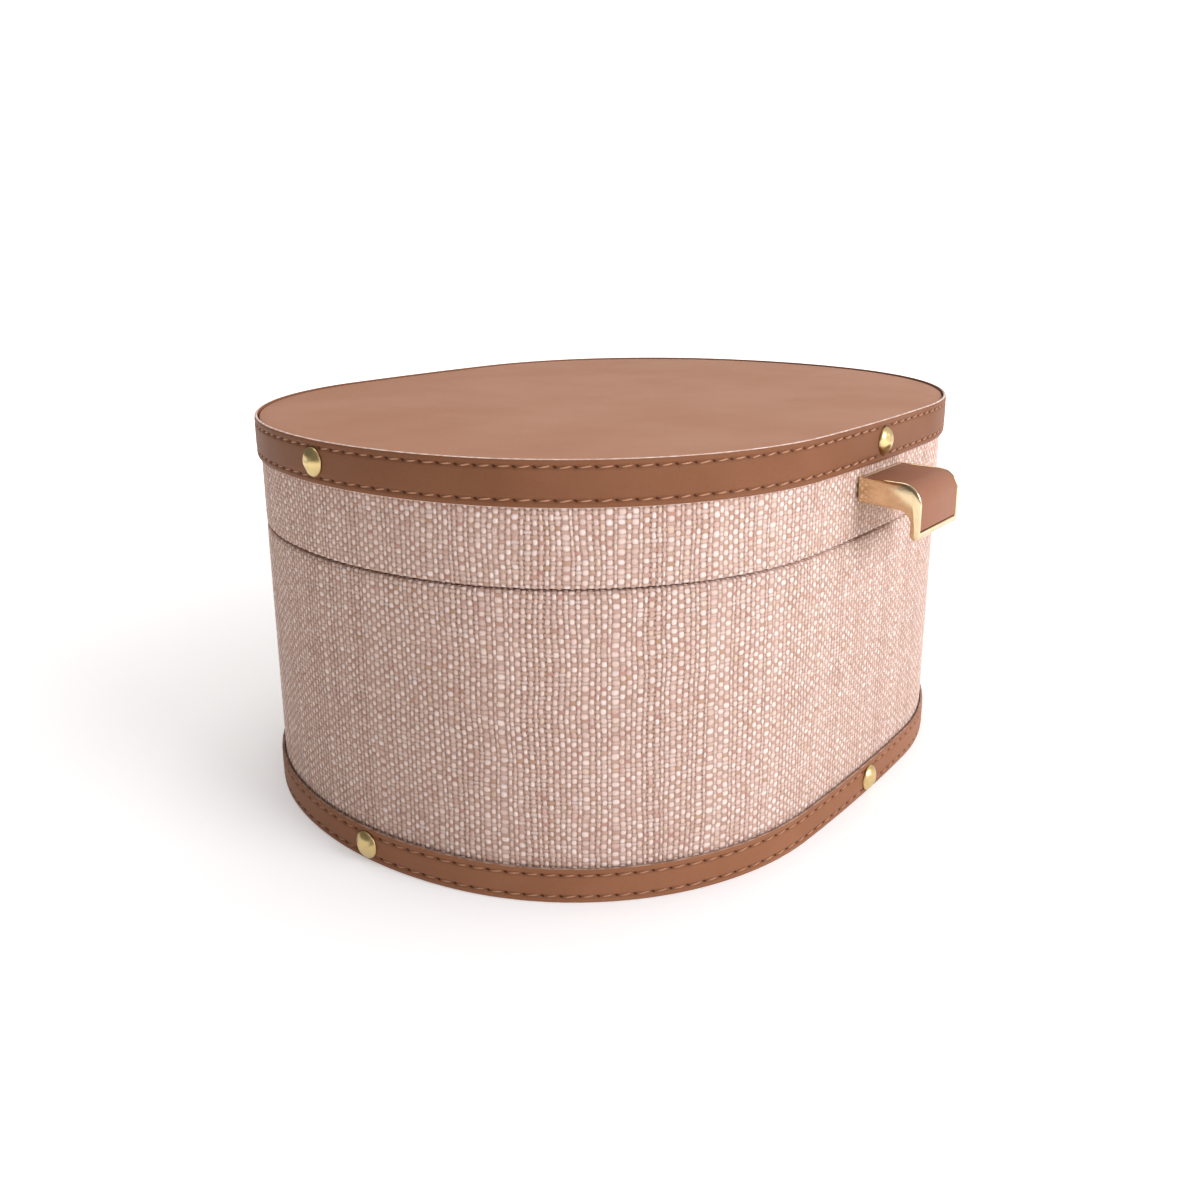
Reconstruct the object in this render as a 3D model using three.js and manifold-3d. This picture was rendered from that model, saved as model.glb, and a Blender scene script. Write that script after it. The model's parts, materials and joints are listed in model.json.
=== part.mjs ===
// Oval fabric-covered keepsake box with a hinged lid. Millimetres, +Z up.
// +X runs along the oval, the front with its pull faces -Y, and the origin is on the
// underside, at the oval's centre.
import * as THREE from 'three';
import { mergeVertices } from 'three/addons/utils/BufferGeometryUtils.js';
import Module from 'manifold-3d';

const wasm = await Module();
wasm.setup();

// ---- driving dimensions ---------------------------------------------------------------
const HEIGHT = 150;
const HALF_LENGTH = 151.8;       // to the outer face of the trim bands
const HALF_WIDTH = 123;
const SIDE_RADIUS = 933;         // the two long sides
const END_RADIUS = 146;          // the two ends
const CORNER_RADIUS = 112;       // the four blends between them
const SEGMENTS = { end: 6, corner: 12, side: 4 };   // straight steps on each arc

const GAP = 0.3;                 // between touching pieces
const OVERLAP = 0.5;             // between the parts that join into one piece
const PIN_SIDES = 12;
const SEAM_Z = 108.4;            // where the lid meets the body
const TRIM_THICK = 1.3;
const FABRIC_THICK = 0.8;
const BOARD_THICK = 2.5;
const LID_TRIM_TALL = 15;
const BASE_TRIM_TALL = 12.7;      // its top, above the underside
const BASE_TRIM_Z = 0.2;
const BODY_LINING_THICK = 1.2;
const LID_LINING_THICK = 0.6;
const COLLAR_THICK = 2;
const COLLAR_RISE = 10;          // how far the collar stands above the seam
const COLLAR_DROP = 25;

// Insets of each layer's outer face from the outer face of the trim.
const FABRIC_IN = TRIM_THICK + GAP;
const BOARD_IN = FABRIC_IN + FABRIC_THICK + GAP;
const LINING_IN = BOARD_IN + BOARD_THICK + GAP;
const COLLAR_IN = LINING_IN + BODY_LINING_THICK + GAP;

const BASE_COVER_THICK = 1;
const BASE_BOARD_THICK = 3;
const BASE_PAD_THICK = 4;
const BASE_BOARD_Z = BASE_COVER_THICK + GAP;
const FLOOR_Z = BASE_BOARD_Z + BASE_BOARD_THICK + GAP;

const TOP_COVER_THICK = 1.3;
const TOP_COVER_IN = TRIM_THICK + 0.6;
const TOP_COVER_Z = HEIGHT - 0.6 - TOP_COVER_THICK;
const LID_BOARD_Z = TOP_COVER_Z - GAP - BOARD_THICK;
const LID_PAD_THICK = 3;
const CEILING_Z = LID_BOARD_Z - GAP;

const STUD = { radius: 5.1, rise: 2.4, rings: 4, shank: 1, bite: 4.6, hole: 7, sides: 14 };
// The studs were set by hand, so each sits a little to one side of its axis: the slide runs
// counter-clockwise round the oval.
const LID_STUDS = { z: HEIGHT - LID_TRIM_TALL / 2, slide: { front: 0, back: 0, left: -9.6, right: 0 } };
const BASE_STUDS = { z: BASE_TRIM_TALL / 2, slide: { front: 5, back: 0, left: 6, right: 0 } };

const FRONT_Y = HALF_WIDTH - FABRIC_IN + GAP;            // just outside the linen, front and back
const PULL = { width: 35.2, reach: 23.4, top: 131.8, tip: 112, bend: 7.6 };
const HOOK = { cheek: 9, droop: 0.8, inside: 5, thick: 3.4 };   // its side view, below the top
const INLAY = { rim: 1.2, depth: 0.9, below: 0.1 };
const SCREW = { x: 8, z: 127.2, shank: 1.5, bite: 5.5, head: 2.8, headTall: 1.6 };
const PLATE = { width: 28, low: 122.9, high: 131.4, thick: 1 };

const HINGE = { width: 60, knuckles: 5, outer: 2.3, bore: 1.2, pin: 0.9, leafTall: 15, leafThick: 1 };
const KNUCKLE_PLAY = 0.2;                                // each side of a joint between knuckles
const PIN_HEAD = { radius: 1.7, tall: 1 };
const RIVET = { x: 18, shank: 1.5, bite: 3.1, head: 2.8, headTall: 0.8 };
const HINGE_Y = FRONT_Y + HINGE.outer;                   // the leaves lie on the linen
const RIVET_DROP = 9;                                    // rivet rows from the seam

// ---- materials ------------------------------------------------------------------------
const finish = (color, roughness, metalness = 0) =>
  new THREE.MeshStandardMaterial({ color, roughness, metalness });
const MATERIAL = {
  linen: finish(0xcfb4a8, 0.95),
  lining: finish(0xe0d0c2, 0.95),
  tan: finish(0xb07c5e, 0.55),
  band: finish(0x85573a, 0.5),
  board: finish(0x9c8f7d, 0.9),
  brass: finish(0xd9b268, 0.25, 1),
  steel: finish(0xa8a8aa, 0.4, 1),
};

// ---- solids ---------------------------------------------------------------------------
function toManifold(geometry) {
  if (geometry instanceof wasm.Manifold) return geometry;
  const bare = geometry.clone();
  bare.deleteAttribute('normal');
  bare.deleteAttribute('uv');
  const merged = mergeVertices(bare, 1e-4);
  return new wasm.Manifold(new wasm.Mesh({
    numProp: 3,
    vertProperties: new Float32Array(merged.attributes.position.array),
    triVerts: new Uint32Array(merged.index.array),
  }));
}

function toGeometry(solid) {
  const mesh = solid.getMesh();
  const geometry = new THREE.BufferGeometry();
  geometry.setAttribute('position', new THREE.BufferAttribute(mesh.vertProperties, 3));
  geometry.setIndex(new THREE.BufferAttribute(mesh.triVerts, 1));
  geometry.computeVertexNormals();
  return geometry;
}

const join = (...parts) => parts.map(toManifold).reduce((whole, part) => whole.add(part));
const cut = (whole, ...tools) =>
  tools.map(toManifold).reduce((rest, tool) => rest.subtract(tool), toManifold(whole));

function piece(name, solid, material) {
  const geometry = solid instanceof wasm.Manifold ? toGeometry(solid) : solid;
  const mesh = new THREE.Mesh(geometry, material);
  mesh.name = name;
  return mesh;
}

// ---- the oval: eight tangent arcs, each shortened by the same inset ----------------------
const SIDE_CENTRE = new THREE.Vector2(0, HALF_WIDTH - SIDE_RADIUS);
const END_CENTRE = new THREE.Vector2(HALF_LENGTH - END_RADIUS, 0);

// The corner arc's centre is where circles about the other two centres cross.
function cornerCentre() {
  const fromSide = SIDE_RADIUS - CORNER_RADIUS;
  const fromEnd = END_RADIUS - CORNER_RADIUS;
  const between = END_CENTRE.clone().sub(SIDE_CENTRE);
  const distance = between.length();
  const along = (fromSide ** 2 - fromEnd ** 2 + distance ** 2) / (2 * distance);
  const across = Math.sqrt(fromSide ** 2 - along ** 2);
  const unit = between.divideScalar(distance);
  return SIDE_CENTRE.clone().addScaledVector(unit, along)
    .add(new THREE.Vector2(unit.y, -unit.x).multiplyScalar(across));
}

const CORNER = cornerCentre();
const END_TURN = CORNER.clone().sub(END_CENTRE).angle();
const SIDE_TURN = CORNER.clone().sub(SIDE_CENTRE).angle();

function oval(inset, Kind = THREE.Shape) {
  const corner = CORNER_RADIUS - inset;
  const side = SIDE_RADIUS - inset;
  const end = END_RADIUS - inset;
  const half = Math.PI;
  const arcs = [
    [SEGMENTS.end, END_CENTRE.x, 0, end, -END_TURN, END_TURN],
    [SEGMENTS.corner, CORNER.x, CORNER.y, corner, END_TURN, SIDE_TURN],
    [SEGMENTS.side, 0, SIDE_CENTRE.y, side, SIDE_TURN, half - SIDE_TURN],
    [SEGMENTS.corner, -CORNER.x, CORNER.y, corner, half - SIDE_TURN, half - END_TURN],
    [SEGMENTS.end, -END_CENTRE.x, 0, end, half - END_TURN, half + END_TURN],
    [SEGMENTS.corner, -CORNER.x, -CORNER.y, corner, half + END_TURN, half + SIDE_TURN],
    [SEGMENTS.side, 0, -SIDE_CENTRE.y, side, half + SIDE_TURN, 2 * half - SIDE_TURN],
    [SEGMENTS.corner, CORNER.x, -CORNER.y, corner, 2 * half - SIDE_TURN, 2 * half - END_TURN],
  ];
  // Each arc leaves its last point to the next one.
  const points = arcs.flatMap(([count, ...arc]) =>
    new THREE.ArcCurve(...arc).getPoints(count).slice(0, -1));
  return new Kind(points);
}

function plate(inset, low, high) {
  const options = { depth: high - low, bevelEnabled: false };
  return new THREE.ExtrudeGeometry(oval(inset), options).translate(0, 0, low);
}

function ring(inset, thick, low, high) {
  const shape = oval(inset);
  shape.holes.push(oval(inset + thick, THREE.Path));
  const options = { depth: high - low, bevelEnabled: false };
  return new THREE.ExtrudeGeometry(shape, options).translate(0, 0, low);
}

function box(low, high) {
  const size = high.map((value, axis) => value - low[axis]);
  return new THREE.BoxGeometry(...size)
    .translate(...low.map((value, axis) => value + size[axis] / 2));
}

// A solid of revolution about the Y axis from [radius, y] points.
function turned(points, sides) {
  const profile = points.map(([radius, y]) => new THREE.Vector2(radius, y));
  return new THREE.LatheGeometry(profile, sides);
}

// ---- studs near the ends of the oval's two axes -------------------------------------------
const STUD_PLACES = [
  { side: 'front', turn: -Math.PI / 2, centre: [0, -SIDE_CENTRE.y], radius: SIDE_RADIUS },
  { side: 'back', turn: Math.PI / 2, centre: [0, SIDE_CENTRE.y], radius: SIDE_RADIUS },
  { side: 'left', turn: Math.PI, centre: [-END_CENTRE.x, 0], radius: END_RADIUS },
  { side: 'right', turn: 0, centre: [END_CENTRE.x, 0], radius: END_RADIUS },
];

// Along +Y, with the band's face at y = 0.
function studGeometry() {
  const sphere = (STUD.radius ** 2 + STUD.rise ** 2) / (2 * STUD.rise);
  const sweep = Math.asin(STUD.radius / sphere);
  const profile = [[0, -STUD.bite], [STUD.shank, -STUD.bite], [STUD.shank, GAP]];
  for (let ring = 0; ring < STUD.rings; ring += 1) {
    const angle = sweep * (1 - ring / STUD.rings);
    const height = GAP + STUD.rise - sphere * (1 - Math.cos(angle));
    profile.push([sphere * Math.sin(angle), height]);
  }
  profile.push([0, GAP + STUD.rise]);
  return turned(profile, STUD.sides);
}

const studTurn = ({ side, turn, radius }, row) => turn + row.slide[side] / radius;

function studHoles(row) {
  return STUD_PLACES.map((place) => {
    const hole = new THREE.CylinderGeometry(STUD.shank + GAP, STUD.shank + GAP, 2 * STUD.hole, 8);
    return hole.translate(0, place.radius, 0).rotateZ(studTurn(place, row) - Math.PI / 2)
      .translate(...place.centre, row.z);
  });
}

function studs(band, row) {
  return STUD_PLACES.map((place) => {
    const turn = studTurn(place, row);
    const stud = piece(`${band}_stud_${place.side}`, studGeometry(), MATERIAL.brass);
    stud.position.set(place.centre[0] + place.radius * Math.cos(turn),
      place.centre[1] + place.radius * Math.sin(turn), row.z);
    stud.rotation.z = turn - Math.PI / 2;
    return stud;
  });
}

// ---- holes for the screws and rivets -------------------------------------------------------
function pinAlongY(x, z, radius, fromY, toY) {
  const cylinder = new THREE.CylinderGeometry(radius, radius, Math.abs(toY - fromY), PIN_SIDES);
  return cylinder.translate(0, (fromY + toY) / 2, 0).translate(x, 0, z);
}

const bothSides = (x, make) => [make(-x), make(x)];

// From inside the pull to inside the lid.
const pullHoles = () => bothSides(SCREW.x, (x) =>
  pinAlongY(x, SCREW.z, SCREW.shank + GAP, -FRONT_Y - SCREW.bite - OVERLAP, -FRONT_Y + 10));

const rivetHoles = (z) => bothSides(RIVET.x, (x) =>
  pinAlongY(x, z, RIVET.shank + GAP, FRONT_Y - RIVET.bite - OVERLAP, FRONT_Y + 5));

// ---- body ----------------------------------------------------------------------------------
function bodyPieces() {
  const wallTop = SEAM_Z - GAP / 2 - FABRIC_THICK - GAP;
  const wrapTop = SEAM_Z - GAP / 2;
  const holes = [...studHoles(BASE_STUDS), ...rivetHoles(SEAM_Z - RIVET_DROP)];
  const wrap = join(
    ring(FABRIC_IN, FABRIC_THICK, BASE_BOARD_Z, wrapTop),
    ring(FABRIC_IN, LINING_IN - FABRIC_IN - GAP, wrapTop - FABRIC_THICK, wrapTop));
  return [
    piece('base_cover', plate(TRIM_THICK + GAP, 0, BASE_COVER_THICK), MATERIAL.band),
    piece('base_board', cut(plate(BOARD_IN, BASE_BOARD_Z, FLOOR_Z - GAP), ...studHoles(BASE_STUDS)),
      MATERIAL.board),
    piece('body_wall', cut(ring(BOARD_IN, BOARD_THICK, FLOOR_Z, wallTop), ...holes), MATERIAL.board),
    piece('body_fabric', cut(wrap, ...holes), MATERIAL.linen),
    piece('body_lining', ring(LINING_IN, BODY_LINING_THICK, FLOOR_Z, wrapTop), MATERIAL.lining),
    piece('base_pad', plate(COLLAR_IN, FLOOR_Z, FLOOR_Z + BASE_PAD_THICK), MATERIAL.lining),
    piece('rim_collar', ring(COLLAR_IN, COLLAR_THICK, SEAM_Z - COLLAR_DROP, SEAM_Z + COLLAR_RISE),
      MATERIAL.lining),
    piece('base_trim', cut(ring(0, TRIM_THICK, BASE_TRIM_Z, BASE_TRIM_TALL), ...studHoles(BASE_STUDS)),
      MATERIAL.band),
    ...studs('base', BASE_STUDS),
  ];
}

// ---- lid -----------------------------------------------------------------------------------
function lidPieces() {
  const wrapLow = SEAM_Z + GAP / 2;
  const wallLow = wrapLow + FABRIC_THICK + GAP;
  const holes = [...studHoles(LID_STUDS), ...pullHoles(), ...rivetHoles(SEAM_Z + RIVET_DROP)];
  const wrap = join(
    ring(FABRIC_IN, FABRIC_THICK, wrapLow, TOP_COVER_Z - GAP),
    ring(FABRIC_IN, LINING_IN - FABRIC_IN - GAP, wrapLow, wrapLow + FABRIC_THICK));
  const padIn = LINING_IN + LID_LINING_THICK + GAP;
  return [
    piece('lid_wall', cut(ring(BOARD_IN, BOARD_THICK, wallLow, CEILING_Z), ...holes), MATERIAL.board),
    piece('lid_board', plate(BOARD_IN, LID_BOARD_Z, TOP_COVER_Z - GAP), MATERIAL.board),
    piece('lid_fabric', cut(wrap, ...holes), MATERIAL.linen),
    piece('lid_cover', plate(TOP_COVER_IN, TOP_COVER_Z, TOP_COVER_Z + TOP_COVER_THICK), MATERIAL.tan),
    piece('lid_lining', cut(ring(LINING_IN, LID_LINING_THICK, wrapLow, CEILING_Z), ...pullHoles()),
      MATERIAL.lining),
    piece('lid_pad', plate(padIn, CEILING_Z - LID_PAD_THICK, CEILING_Z), MATERIAL.lining),
    piece('lid_trim',
      cut(ring(0, TRIM_THICK, HEIGHT - LID_TRIM_TALL, HEIGHT), ...studHoles(LID_STUDS)),
      MATERIAL.band),
    ...studs('lid', LID_STUDS),
  ];
}

// ---- pull: a hooked brass tab with a leather inlay -------------------------------------------
// Side view: x is the distance out from the flat back, y the height.
function hookShape() {
  const shape = new THREE.Shape();
  const inner = PULL.reach - HOOK.thick;
  const low = PULL.top - HOOK.cheek - HOOK.droop;
  const lip = HOOK.thick / 2;
  shape.moveTo(0, low + HOOK.droop);
  shape.lineTo(inner - HOOK.inside, low);
  shape.absarc(inner - HOOK.inside, low - HOOK.inside, HOOK.inside, Math.PI / 2, 0, true);
  shape.lineTo(inner, PULL.tip + lip);
  shape.absarc(inner + lip, PULL.tip + lip, lip, Math.PI, 2 * Math.PI);
  shape.lineTo(PULL.reach, PULL.top - PULL.bend);
  shape.absarc(PULL.reach - PULL.bend, PULL.top - PULL.bend, PULL.bend, 0, Math.PI / 2);
  shape.lineTo(0, PULL.top);
  return shape;
}

// A layer under the top and front faces, from `outer` to `inner` below them. It runs from `back`,
// over the bend and down to `low`.
function skinShape(back, low, outer, inner) {
  const shape = new THREE.Shape();
  const centre = [PULL.reach - PULL.bend, PULL.top - PULL.bend];
  shape.moveTo(back, PULL.top - inner);
  shape.lineTo(centre[0], PULL.top - inner);
  shape.absarc(...centre, PULL.bend - inner, Math.PI / 2, 0, true);
  shape.lineTo(PULL.reach - inner, low);
  shape.lineTo(PULL.reach - outer, low);
  shape.absarc(...centre, PULL.bend - outer, 0, Math.PI / 2);
  shape.lineTo(back, PULL.top - outer);
  return shape;
}

// Extrudes a side view along X and stands it against the lid's front.
function acrossFront(shape, width) {
  const options = { depth: width, bevelEnabled: false, curveSegments: 6 };
  return new THREE.ExtrudeGeometry(shape, options)
    .rotateX(Math.PI / 2).rotateZ(-Math.PI / 2).translate(width / 2, -FRONT_Y, 0);
}

function pullPieces() {
  const inlayWidth = PULL.width - 2 * INLAY.rim;
  const inlayLow = PULL.tip + HOOK.thick / 2 + INLAY.rim;
  const recess = skinShape(INLAY.rim, inlayLow, -1, INLAY.depth);
  const inlay = skinShape(INLAY.rim + GAP, inlayLow + GAP, INLAY.below, INLAY.depth - GAP);
  const frame = cut(acrossFront(hookShape(), PULL.width), acrossFront(recess, inlayWidth),
    ...pullHoles());
  const plateFace = -(HALF_WIDTH - LINING_IN - LID_LINING_THICK) + GAP;
  const plateSlab = box([-PLATE.width / 2, plateFace, PLATE.low],
    [PLATE.width / 2, plateFace + PLATE.thick, PLATE.high]);
  const headFace = plateFace + PLATE.thick + GAP;
  const screws = bothSides(SCREW.x, (x) => {
    const shank = pinAlongY(x, SCREW.z, SCREW.shank, -FRONT_Y - SCREW.bite, headFace + OVERLAP);
    const head = pinAlongY(x, SCREW.z, SCREW.head, headFace, headFace + SCREW.headTall);
    return piece(`pull_screw_${x < 0 ? 'left' : 'right'}`, join(shank, head), MATERIAL.steel);
  });
  return [
    piece('pull_frame', frame, MATERIAL.brass),
    piece('pull_inlay', acrossFront(inlay, inlayWidth - 2 * GAP), MATERIAL.tan),
    piece('pull_plate', cut(plateSlab, ...pullHoles()), MATERIAL.steel),
    ...screws,
  ];
}

// ---- hinge: a five-knuckle brass butt hinge outside the back, its pin along X -------------------
const KNUCKLE = HINGE.width / HINGE.knuckles;

function barrelAlongX(radius, fromX, toX, sides = 16) {
  const cylinder = new THREE.CylinderGeometry(radius, radius, toX - fromX, sides);
  return cylinder.rotateZ(-Math.PI / 2).translate((fromX + toX) / 2, HINGE_Y, SEAM_Z);
}

// A leaf goes up (+1) or down (-1) from the pin and carries every second knuckle.
function hingeLeaf(direction, firstKnuckle) {
  const near = SEAM_Z + direction * (HINGE.outer + OVERLAP);
  const far = SEAM_Z + direction * HINGE.leafTall;
  const slab = (x0, x1, z0, z1) => box([x0, FRONT_Y, Math.min(z0, z1)],
    [x1, FRONT_Y + HINGE.leafThick, Math.max(z0, z1)]);
  const parts = [slab(-HINGE.width / 2, HINGE.width / 2, near, far)];
  for (let index = firstKnuckle; index < HINGE.knuckles; index += 2) {
    const x0 = -HINGE.width / 2 + index * KNUCKLE + (index > 0 ? KNUCKLE_PLAY : 0);
    const x1 = x0 + KNUCKLE - (index % (HINGE.knuckles - 1) ? 2 : 1) * KNUCKLE_PLAY;
    parts.push(slab(x0, x1, SEAM_Z, near + direction * OVERLAP),
      barrelAlongX(HINGE.outer, x0, x1));
  }
  const bore = barrelAlongX(HINGE.bore, -HINGE.width, HINGE.width, PIN_SIDES);
  return cut(join(...parts), bore, ...rivetHoles(SEAM_Z + direction * RIVET_DROP));
}

function rivets(bodyName, z) {
  const headFace = FRONT_Y + HINGE.leafThick + GAP;
  return bothSides(RIVET.x, (x) => {
    const shank = pinAlongY(x, z, RIVET.shank, FRONT_Y - RIVET.bite, headFace + OVERLAP);
    const head = pinAlongY(x, z, RIVET.head, headFace, headFace + RIVET.headTall);
    return piece(`${bodyName}_rivet_${x < 0 ? 'left' : 'right'}`, join(shank, head), MATERIAL.brass);
  });
}

// The rod, with a flat head at each end.
function hingePin() {
  const end = HINGE.width / 2 + GAP;
  const head = (from, to) => barrelAlongX(PIN_HEAD.radius, from, to, PIN_SIDES);
  return join(barrelAlongX(HINGE.pin, -end - OVERLAP, end + OVERLAP, PIN_SIDES),
    head(-end - PIN_HEAD.tall, -end), head(end, end + PIN_HEAD.tall));
}

// ---- assembly: the body stands still, the lid turns about the hinge pin -------------------------
const body = new THREE.Group();
body.add(...bodyPieces());
body.add(piece('hinge_body_leaf', hingeLeaf(-1, 0), MATERIAL.brass));
body.add(piece('hinge_pin', hingePin(), MATERIAL.brass));
body.add(...rivets('body', SEAM_Z - RIVET_DROP));

const lid = new THREE.Group();
lid.add(...lidPieces());
lid.add(...pullPieces());
lid.add(piece('hinge_lid_leaf', hingeLeaf(1, 1), MATERIAL.brass));
lid.add(...rivets('lid', SEAM_Z + RIVET_DROP));

const group = new THREE.Group();
group.add(body, lid);
export default group;
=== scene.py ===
"""Oval keepsake box: linen wrap, leather bands and top, brass studs, a hooked pull and a hinged lid."""
import json
import math
import random

import bmesh
import bpy
from mathutils import Matrix, Vector, noise


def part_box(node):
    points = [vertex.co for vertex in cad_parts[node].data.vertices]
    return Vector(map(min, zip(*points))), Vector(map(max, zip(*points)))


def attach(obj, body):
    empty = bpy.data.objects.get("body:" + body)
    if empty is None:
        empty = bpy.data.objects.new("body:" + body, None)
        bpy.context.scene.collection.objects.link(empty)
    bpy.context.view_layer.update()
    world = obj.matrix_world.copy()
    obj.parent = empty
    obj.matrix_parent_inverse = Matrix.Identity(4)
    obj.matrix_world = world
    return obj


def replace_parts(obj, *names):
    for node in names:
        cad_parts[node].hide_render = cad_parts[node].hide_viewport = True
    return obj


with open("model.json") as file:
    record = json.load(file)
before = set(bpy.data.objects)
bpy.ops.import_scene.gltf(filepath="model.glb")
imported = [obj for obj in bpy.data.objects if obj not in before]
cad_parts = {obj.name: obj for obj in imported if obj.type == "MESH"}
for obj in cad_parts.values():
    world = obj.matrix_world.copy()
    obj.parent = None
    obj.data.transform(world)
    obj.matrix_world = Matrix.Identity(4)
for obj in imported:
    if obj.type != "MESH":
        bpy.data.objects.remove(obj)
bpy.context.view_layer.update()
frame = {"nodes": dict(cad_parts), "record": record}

MM = 0.001
PI = math.pi


# ---- sizes, from the frame -----------------------------------------------------------------------
HALF_LENGTH, HALF_WIDTH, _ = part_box("lid_trim")[1]
# The radii of the oval's arcs, on the bands' outer face.
SIDE_RADIUS = 933 * MM
END_RADIUS = 146 * MM
CORNER_RADIUS = 112 * MM


def inset_of(node):
    """How far a node's outer face lies inside the bands' outer face."""
    return HALF_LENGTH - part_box(node)[1].x


# ---- the oval: eight arcs that meet smoothly -----------------------------------------------------
NEAR_OVAL = 25 * MM              # how far from an arc a spot may lie and still belong to it
SLACK = 1e-4                     # radians, so that a spot on a joint between arcs isn't missed


class Arc:
    """One arc of the oval, in radians and metres."""

    def __init__(self, kind, x, y, radius, start, sweep):
        self.kind, self.centre, self.radius = kind, Vector((x, y, 0)), radius
        self.start, self.sweep = start, sweep

    def holds(self, spot):
        """The share of the arc at which a spot lies, or None if it lies outside the arc."""
        out = spot - self.centre
        if abs(out.to_2d().length - self.radius) > NEAR_OVAL:
            return None
        turn = (math.atan2(out.y, out.x) - self.start + SLACK) % (2 * PI)
        return min(max(turn - SLACK, 0) / self.sweep, 1) if turn < self.sweep + 2 * SLACK else None


def oval_arcs():
    """The end, corner and side arcs, counter-clockwise from the middle of the right end."""
    side = Vector((0, HALF_WIDTH - SIDE_RADIUS))
    end = Vector((HALF_LENGTH - END_RADIUS, 0))
    from_side, from_end = SIDE_RADIUS - CORNER_RADIUS, END_RADIUS - CORNER_RADIUS
    between = end - side
    along = (from_side**2 - from_end**2 + between.length_squared) / (2 * between.length)
    across = math.sqrt(from_side**2 - along**2)
    unit = between.normalized()
    corner = side + unit * along + Vector((unit.y, -unit.x)) * across
    end_turn = math.atan2(*reversed(corner - end))
    side_turn = math.atan2(*reversed(corner - side))
    arcs = []
    for quarter in (0, 1):
        flip = 1 - 2 * quarter
        half = quarter * PI
        arcs += [
            Arc("end", end.x * flip, 0, END_RADIUS, half - end_turn, 2 * end_turn),
            Arc("corner", corner.x * flip, corner.y * flip, CORNER_RADIUS,
                half + end_turn, side_turn - end_turn),
            Arc("side", 0, side.y * flip, SIDE_RADIUS, half + side_turn, PI - 2 * side_turn),
            Arc("corner", -corner.x * flip, corner.y * flip, CORNER_RADIUS,
                half + PI - side_turn, side_turn - end_turn),
        ]
    return arcs


ARCS = oval_arcs()
# Columns on each kind of arc: warp threads of the linen, stitches of the bands, plain steps.
THREADS = {"end": 44, "corner": 70, "side": 44}
STITCHES = {"end": 14, "corner": 22, "side": 14}
STEPS = {"end": 20, "corner": 34, "side": 8}


def arc_at(spot):
    """The arc of the oval beside a spot, and the outward direction there."""
    for arc in ARCS:
        if arc.holds(spot) is not None:
            out = spot - arc.centre
            out.z = 0
            return arc, out.normalized()
    raise ValueError(f"no arc holds {spot}")


def station(spot, counts):
    """Where a spot lies round the oval, counted in threads, stitches or steps."""
    passed = 0
    for arc in ARCS:
        share = arc.holds(spot)
        if share is not None:
            return passed + share * counts[arc.kind]
        passed += counts[arc.kind]
    raise ValueError(f"no arc holds {spot}")


def round_total(counts):
    """How many threads, stitches or steps go all the way round."""
    return sum(counts[arc.kind] for arc in ARCS)


# ---- mesh helpers --------------------------------------------------------------------------------
WELD = 0.01 * MM
SHARP = math.radians(40)


def finish_piece(name, bm, body, materials):
    """Turns a bmesh into an object that rides on a body."""
    mesh = bpy.data.meshes.new(name)
    bm.to_mesh(mesh)
    bm.free()
    for material in materials:
        mesh.materials.append(material)
    mesh.shade_smooth()
    piece = bpy.data.objects.new(name, mesh)
    bpy.context.scene.collection.objects.link(piece)
    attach(piece, body)
    return piece


def swept(profile, counts, per_count=1, closed=True):
    """Sweeps a profile of (inset, height, along) points round the oval.

    `along` is kept on each vertex, for the piece's own UV map."""
    bm = bmesh.new()
    along = bm.verts.layers.float.new("along")
    row = []
    for inset, z, distance in profile:
        vert = bm.verts.new((HALF_LENGTH - inset, 0, z))
        vert[along] = distance
        row.append(vert)
    pairs = list(zip(row, row[1:])) + ([(row[-1], row[0])] if closed else [])
    geometry = row + [bm.edges.new(pair) for pair in pairs]
    # A quarter of the oval is spun, and then mirrored both ways.
    end, corner, side = ARCS[:3]
    quarter = [(end, end.sweep / 2, counts["end"] // 2), (corner, corner.sweep, counts["corner"]),
               (side, side.sweep / 2, counts["side"] // 2)]
    for arc, angle, count in quarter:
        spun = bmesh.ops.spin(bm, geom=geometry, cent=arc.centre, axis=(0, 0, 1), angle=angle,
                              steps=count * per_count, use_merge=False)
        geometry = spun["geom_last"]
    for axis in "XY":
        bmesh.ops.mirror(bm, geom=bm.verts[:] + bm.edges[:] + bm.faces[:], axis=axis,
                         matrix=Matrix.Identity(4), merge_dist=WELD)
    bmesh.ops.remove_doubles(bm, verts=bm.verts, dist=WELD)
    bmesh.ops.recalc_face_normals(bm, faces=bm.faces)
    return bm


def unwrap(bm, counts, scale=1.0):
    """Gives a swept piece its UV map: stations round the oval, and the distance along the profile.

    It returns the station of each vertex."""
    along = bm.verts.layers.float["along"]
    uv = bm.loops.layers.uv.new("cloth")
    total = round_total(counts)
    stations = {vert: station(vert.co, counts) for vert in bm.verts}
    for face in bm.faces:
        marks = [stations[loop.vert] for loop in face.loops]
        wraps = max(marks) - min(marks) > total / 2
        for loop, mark in zip(face.loops, marks):
            mark += total if wraps and mark < total / 2 else 0
            loop[uv].uv = (mark * scale, loop.vert[along])
    return stations


def measured(points):
    """Adds to (inset, height) points their distance along the profile, in millimetres."""
    distance, out = 0.0, []
    for index, point in enumerate(points):
        if index:
            distance += math.dist(point, points[index - 1]) / MM
        out.append((*point, distance))
    return out


def arc_points(centre, radius, start, end, count):
    """Points on a bend of a section, from one angle to another in degrees."""
    turns = [math.radians(start + (end - start) * step / count) for step in range(count + 1)]
    return [(centre[0] + radius * math.cos(t), centre[1] + radius * math.sin(t)) for t in turns]


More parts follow.
